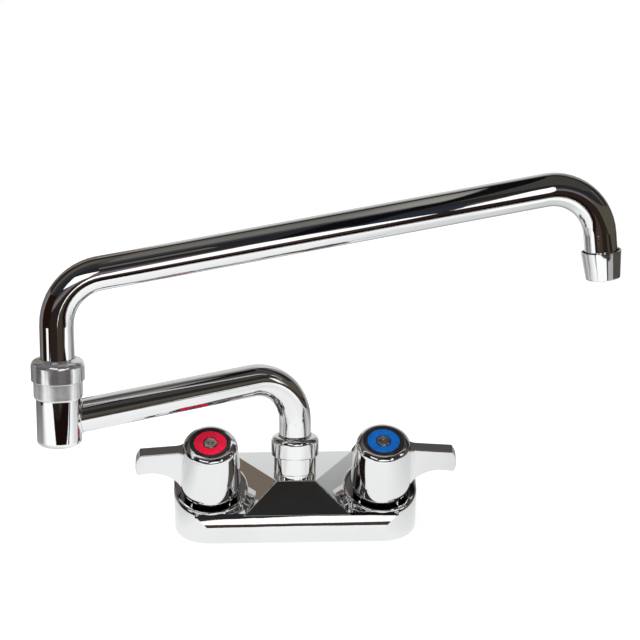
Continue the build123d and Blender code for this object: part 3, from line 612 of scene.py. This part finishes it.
# The ceiling over the body, from left to right, and its shade from the user to the wall
CEILING_TINTS = (
    (0.0, colour(92, 89, 85)),
    (0.30, colour(110, 107, 103)),
    (0.55, colour(112, 109, 105)),
    (0.68, colour(140, 138, 134)),
    (0.78, colour(146, 144, 140)),
    (0.80, colour(120, 118, 114)),
)
CEILING_SHADE = (
    (0.0, (0.45, 0.43, 0.40)),
    (0.25, even(1.0)),
    (0.60, even(1.0)),
    (1.0, even(0.6)),
)

# Tints of the cards: linear colour and strength
TINTS = {
    "window_light": (colour(255, 253, 250), 1.25),
    "near_paper": (colour(246), 1.2),
    "pale_card": (colour(178, 176, 175), 1.0),
    "black_wall": (colour(14, 13, 15), 1.0),
    "navy_wall": (colour(40, 46, 57), 1.0),
    "sand_wall": (colour(104, 100, 90), 1.0),
    "umber_table": (colour(66, 56, 50), 1.0),
    # Painted shadow: dark tint of the sheet laid on the paper in front, where shade falls on it
    "painted_paper_shadow": (colour(27, 15, 15), 1.0),
    "brown_wall": (colour(112, 101, 90), 1.1),
    "side_wall": (colour(70, 65, 58), 1.0),
    "olive_wall": (colour(84, 80, 68), 1.0),
    "rust_wall": (colour(34, 20, 14), 1.0),
    "dust_wall": (colour(120, 116, 114), 1.0),
    "smoke_wall": (colour(66, 64, 60), 1.0),
}


def upright(y, outline):
    """Corners of a card parallel to the wall; outline: (x, z) points."""
    return [(x, y, z) for x, z in outline]


def level(z, outline):
    """Corners of a card parallel to the floor; outline: (x, y) points."""
    return [(x, y, z) for x, y in outline]


def rectangle(left, right, low, high):
    """Outline with sides along the axes."""
    return ((left, low), (right, low), (right, high), (left, high))


# What stands round the paper: name, tint, corners
CARDS = (
    ("front_window", "window_light", upright(-0.49, (
        (-0.078, 0.044), (0.0, 0.055), (0.20, 0.098), (0.213, 0.115), (0.213, 0.130), (0.20, 0.145),
        (0.15, 0.190), (0.09, 0.235), (0.04, 0.250), (0.0, 0.215), (-0.045, 0.170), (-0.075, 0.110),
    ))),
    ("right_window", "window_light", upright(-0.49, (
        (0.225, 0.13), (0.31, 0.13), (0.31, 0.40), (0.26, 0.36), (0.225, 0.20),
    ))),
    ("left_window", "window_light", upright(-0.49, (
        (-0.36, 0.30), (-0.10, 0.18), (-0.10, 0.30), (-0.34, 0.47),
    ))),
    ("dark_gap", "black_wall", upright(-0.492, (
        (0.05, 0.27), (0.13, 0.27), (0.17, 0.75), (0.07, 0.75),
    ))),
    ("navy_gap", "navy_wall", upright(-0.493, rectangle(0.12, 0.22, 0.17, 0.36))),
    ("sand_patch", "sand_wall", upright(-0.493, (
        (-0.11, 0.42), (-0.01, 0.45), (-0.03, 0.56), (-0.13, 0.52),
    ))),
    ("table_front", "umber_table", upright(-0.495, (
        (-0.09, -0.02), (0.20, -0.02), (0.20, 0.11), (-0.09, 0.06),
    ))),
    # Painted shadow: a dark sheet on the front of the paper, where shade falls on it
    ("paper_shadow", "painted_paper_shadow", level(CARD_SHADOW_Z, (
        (-0.30, -0.47), (0.33, -0.47), (0.33, -0.25), (-0.10, -0.29),
    ))),
    ("near_left", "near_paper", level(CARD_Z, (
        (-0.50, -0.52), (-0.28, -0.465), (-0.19, -0.39), (-0.13, -0.285), (-0.50, -0.24),
    ))),
    ("near_right", "near_paper", level(CARD_Z, (
        (0.34, -0.24), (0.36, -0.44), (0.60, -0.44), (0.60, -0.24),
    ))),
    ("outlet_card", "near_paper", upright(-0.130, rectangle(0.136, 0.1868, 0.085, 0.141))),
    ("outlet_card_right", "pale_card", upright(-0.126, rectangle(0.192, 0.235, 0.085, 0.141))),
    ("far_left", "near_paper", level(CARD_Z, (
        (-0.55, -0.29), (-0.49, -0.40), (-0.76, -0.61), (-0.88, -0.42),
    ))),
    ("raised_lip", "near_paper", upright(-0.312, (
        (-0.05, -0.0185), (0.35, -0.0185), (0.35, -0.0125), (0.06, -0.0105), (0.01, -0.0085),
    ))),
    ("brown_board", "brown_wall", upright(0.35, rectangle(-0.45, -0.16, 0.15, 0.60))),
    ("right_wall", "olive_wall", [
        (0.85, -1.0, 0.09), (1.1, 0.5, 0.06), (1.1, 0.5, 0.45), (0.85, -1.0, 0.40),
    ]),
    ("right_wall_low", "side_wall", [
        (0.85, -1.0, -0.3), (1.1, 0.5, -0.3), (1.1, 0.5, 0.03), (0.85, -1.0, 0.05),
    ]),
    ("left_wall", "rust_wall", [
        (-0.9, -1.0, -0.3), (-1.1, 0.05, -0.3), (-1.1, 0.05, 0.5), (-0.9, -1.0, 0.5),
    ]),
    ("left_wall_back", "dust_wall", [
        (-1.1, 0.05, -0.3), (-1.1, 0.7, -0.3), (-1.1, 0.7, 0.5), (-1.1, 0.05, 0.5),
    ]),
    ("overhead", "ceiling", level(CEILING_Z, rectangle(-0.145, 0.12, CEILING_FRONT, CEILING_BACK))),
    ("overhead_gap", "black_wall", level(CEILING_Z + 0.002, rectangle(0.10, 0.165, -0.75, 0.06))),
    ("overhead_right", "smoke_wall", level(CEILING_Z + 0.004, rectangle(0.165, 0.6, -0.45, 0.03))),
)


def only_reflected(obj):
    obj.visible_camera = False
    obj.visible_diffuse = False
    obj.visible_shadow = False
    obj.visible_transmission = False


def floor():
    """Wide pale floor that the camera sees, with the object's soft shadow on it."""
    mat, n = new_material("studio_floor")
    tone = n.remap(n.noise(n.object_coords(), 400.0, detail=3.0), 0.3, 0.7, *FLOOR_TONE)
    tint = n.add("ShaderNodeCombineColor", {"Red": tone, "Green": tone, "Blue": tone})
    diffuse = n.add("ShaderNodeBsdfDiffuse", {"Color": tint.outputs[0]})
    seen = n.add("ShaderNodeLightPath").outputs["Is Camera Ray"]
    lift = n.add("ShaderNodeEmission", {"Strength": n.math("MULTIPLY", seen, FLOOR_LIFT)})
    n.end(n.add("ShaderNodeAddShader", {0: diffuse.outputs[0], 1: lift.outputs[0]}))
    r = FLOOR_REACH
    obj = mesh_object("floor", level(FLOOR_Z, rectangle(-r, r, -r, r)), [(0, 1, 2, 3)], mat)
    obj.visible_glossy = False


def sweep_paper():
    """Painted light and shade of the paper: one ramp along the ground, another up the back."""
    mat, n = new_material("paper_sweep")
    x, y, z = n.position()
    ground = n.ramp(n.remap(y, SWEEP_FRONT, SWEEP_BACK), PAPER_GROUND)
    back = n.ramp(n.remap(z, FLOOR_Z, SWEEP_TOP), PAPER_BACK)
    sides = n.ramp(n.remap(x, -SWEEP_SIDES, SWEEP_SIDES), PAPER_SIDES)
    ground = n.multiply(ground, n.mix(n.remap(y, *SWEEP_FADE_Y), (1.0, 1.0, 1.0, 1.0), sides))
    wings = n.ramp(n.remap(n.math("ABSOLUTE", x), *SWEEP_WING_X), PAPER_WINGS)
    back = n.multiply(back, wings)
    rise = n.remap(z, *(FLOOR_Z + above for above in SWEEP_RISE))
    n.glow(n.mix(rise, ground, back), SWEEP_STRENGTH)
    return mat


def sweep():
    """White paper sweep: floor, bend and back, as the chrome sees it."""
    low = FLOOR_Z - SWEEP_SINK
    profile = []
    for i in range(SWEEP_BEND_STEPS + 1):
        turn = math.pi / 2 * i / SWEEP_BEND_STEPS
        profile.append((
            SWEEP_BACK - SWEEP_BEND_R + SWEEP_BEND_R * math.sin(turn),
            low + SWEEP_BEND_R * (1 - math.cos(turn)),
        ))
    profile.append((SWEEP_BACK, SWEEP_TOP))
    verts = [
        (SWEEP_LEFT, SWEEP_FRONT - SWEEP_FRONT_SLANT, low),
        (SWEEP_RIGHT, SWEEP_FRONT + SWEEP_FRONT_SLANT, low),
    ]
    for y, z in profile:
        verts += [(SWEEP_LEFT, y, z), (SWEEP_RIGHT, y, z)]
    faces = [(2 * i, 2 * i + 1, 2 * i + 3, 2 * i + 2) for i in range(len(profile))]
    only_reflected(mesh_object("paper_sweep", verts, faces, sweep_paper()))


def ceiling():
    """Light of the ceiling over the body."""
    mat, n = new_material("ceiling")
    x, y, _ = n.position()
    tint = n.ramp(n.remap(x, -CEILING_SIDES, CEILING_SIDES), CEILING_TINTS)
    shade = n.ramp(n.remap(y, CEILING_FRONT, CEILING_BACK), CEILING_SHADE)
    n.glow(n.multiply(tint, shade), CEILING_STRENGTH)
    return mat


def cards():
    """Windows, walls, ceiling and the table in front, as the chrome sees them."""
    mats = {"ceiling": ceiling()}
    for name, (tint, strength) in TINTS.items():
        mats[name], n = new_material(name)
        n.glow((*tint, 1.0), strength)
    for name, tint, corners in CARDS:
        face = tuple(range(len(corners)))
        only_reflected(mesh_object(name, corners, [face], mats[tint]))


def room_world():
    """White for the camera, plain light for matt surfaces, a dim room for reflections."""
    world = bpy.data.worlds.new("studio")
    bpy.context.scene.world = world
    world.use_nodes = True
    n = Nodes(world.node_tree)
    rays = n.add("ShaderNodeLightPath").outputs
    _, y, z = n.split(n.add("ShaderNodeTexCoord").outputs["Generated"])
    angle = n.math("ARCTAN2", z, n.math("MULTIPLY", y, -1.0))
    arch = n.ramp(n.math("DIVIDE", angle, math.pi), ROOM_ARCH)
    room = n.mix(n.math("LESS_THAN", z, 0.0), arch, (*ROOM_BELOW, 1.0))
    reflected = n.add("ShaderNodeBackground", {"Color": room, "Strength": ROOM_STRENGTH})
    plain = n.add("ShaderNodeBackground", {"Color": PLAIN_LIGHT, "Strength": PLAIN_STRENGTH})
    white = n.add("ShaderNodeBackground", {"Color": (1.0, 1.0, 1.0, 1.0), "Strength": 1.0})
    mixed = n.add("ShaderNodeMixShader", {
        0: rays["Is Glossy Ray"], 1: plain.outputs[0], 2: reflected.outputs[0],
    })
    seen = n.math("MAXIMUM", rays["Is Camera Ray"], rays["Is Transmission Ray"])
    final = n.add("ShaderNodeMixShader", {0: seen, 1: mixed.outputs[0], 2: white.outputs[0]})
    n.end(final, "ShaderNodeOutputWorld")


def lamps():
    """Two large soft lamps at a plain level, unseen by reflections."""
    for name, place, side, watts in LAMPS:
        data = bpy.data.lights.new(name, "AREA")
        data.shape = "SQUARE"
        data.size = side
        data.energy = watts
        obj = bpy.data.objects.new(name, data)
        bpy.context.scene.collection.objects.link(obj)
        obj.location = place
        aim = Vector(LAMP_AIM) - Vector(place)
        obj.rotation_euler = aim.to_track_quat("-Z", "Y").to_euler()
        obj.visible_glossy = False


def camera():
    """The photograph's camera: fitted place, tilt and lens."""
    pitch = math.radians(CAMERA_PITCH)
    yaw = math.radians(CAMERA_YAW)
    roll = math.radians(CAMERA_ROLL)
    ahead = Vector((
        math.sin(yaw) * math.cos(pitch),
        math.cos(yaw) * math.cos(pitch),
        -math.sin(pitch),
    ))
    across = Vector((math.cos(yaw), -math.sin(yaw), 0))
    above = across.cross(ahead)
    right = across * math.cos(roll) + above * math.sin(roll)
    up = above * math.cos(roll) - across * math.sin(roll)
    data = bpy.data.cameras.new("camera")
    data.lens = CAMERA_LENS
    data.sensor_width = CAMERA_SENSOR
    data.clip_start = CAMERA_CLIP
    obj = bpy.data.objects.new("camera", data)
    bpy.context.scene.collection.objects.link(obj)
    turn = Matrix((right, up, -ahead)).transposed().to_4x4()
    obj.matrix_world = Matrix.Translation(CAMERA_PLACE) @ turn
    bpy.context.scene.camera = obj


def main():
    """Dress the CAD nodes, and add the pieces and the studio."""
    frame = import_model()
    mats = dress_nodes(frame["nodes"])
    joints = {joint["name"]: joint for joint in frame["joints"]}
    index_seats(joints, mats["black_ring"])
    braze_bead(joints, mats["turned_chrome"])
    shank_threads(joints, mats["machined_brass"])
    room_world()
    floor()
    sweep()
    cards()
    lamps()
    camera()
    bpy.context.scene.view_settings.view_transform = "Standard"


main()
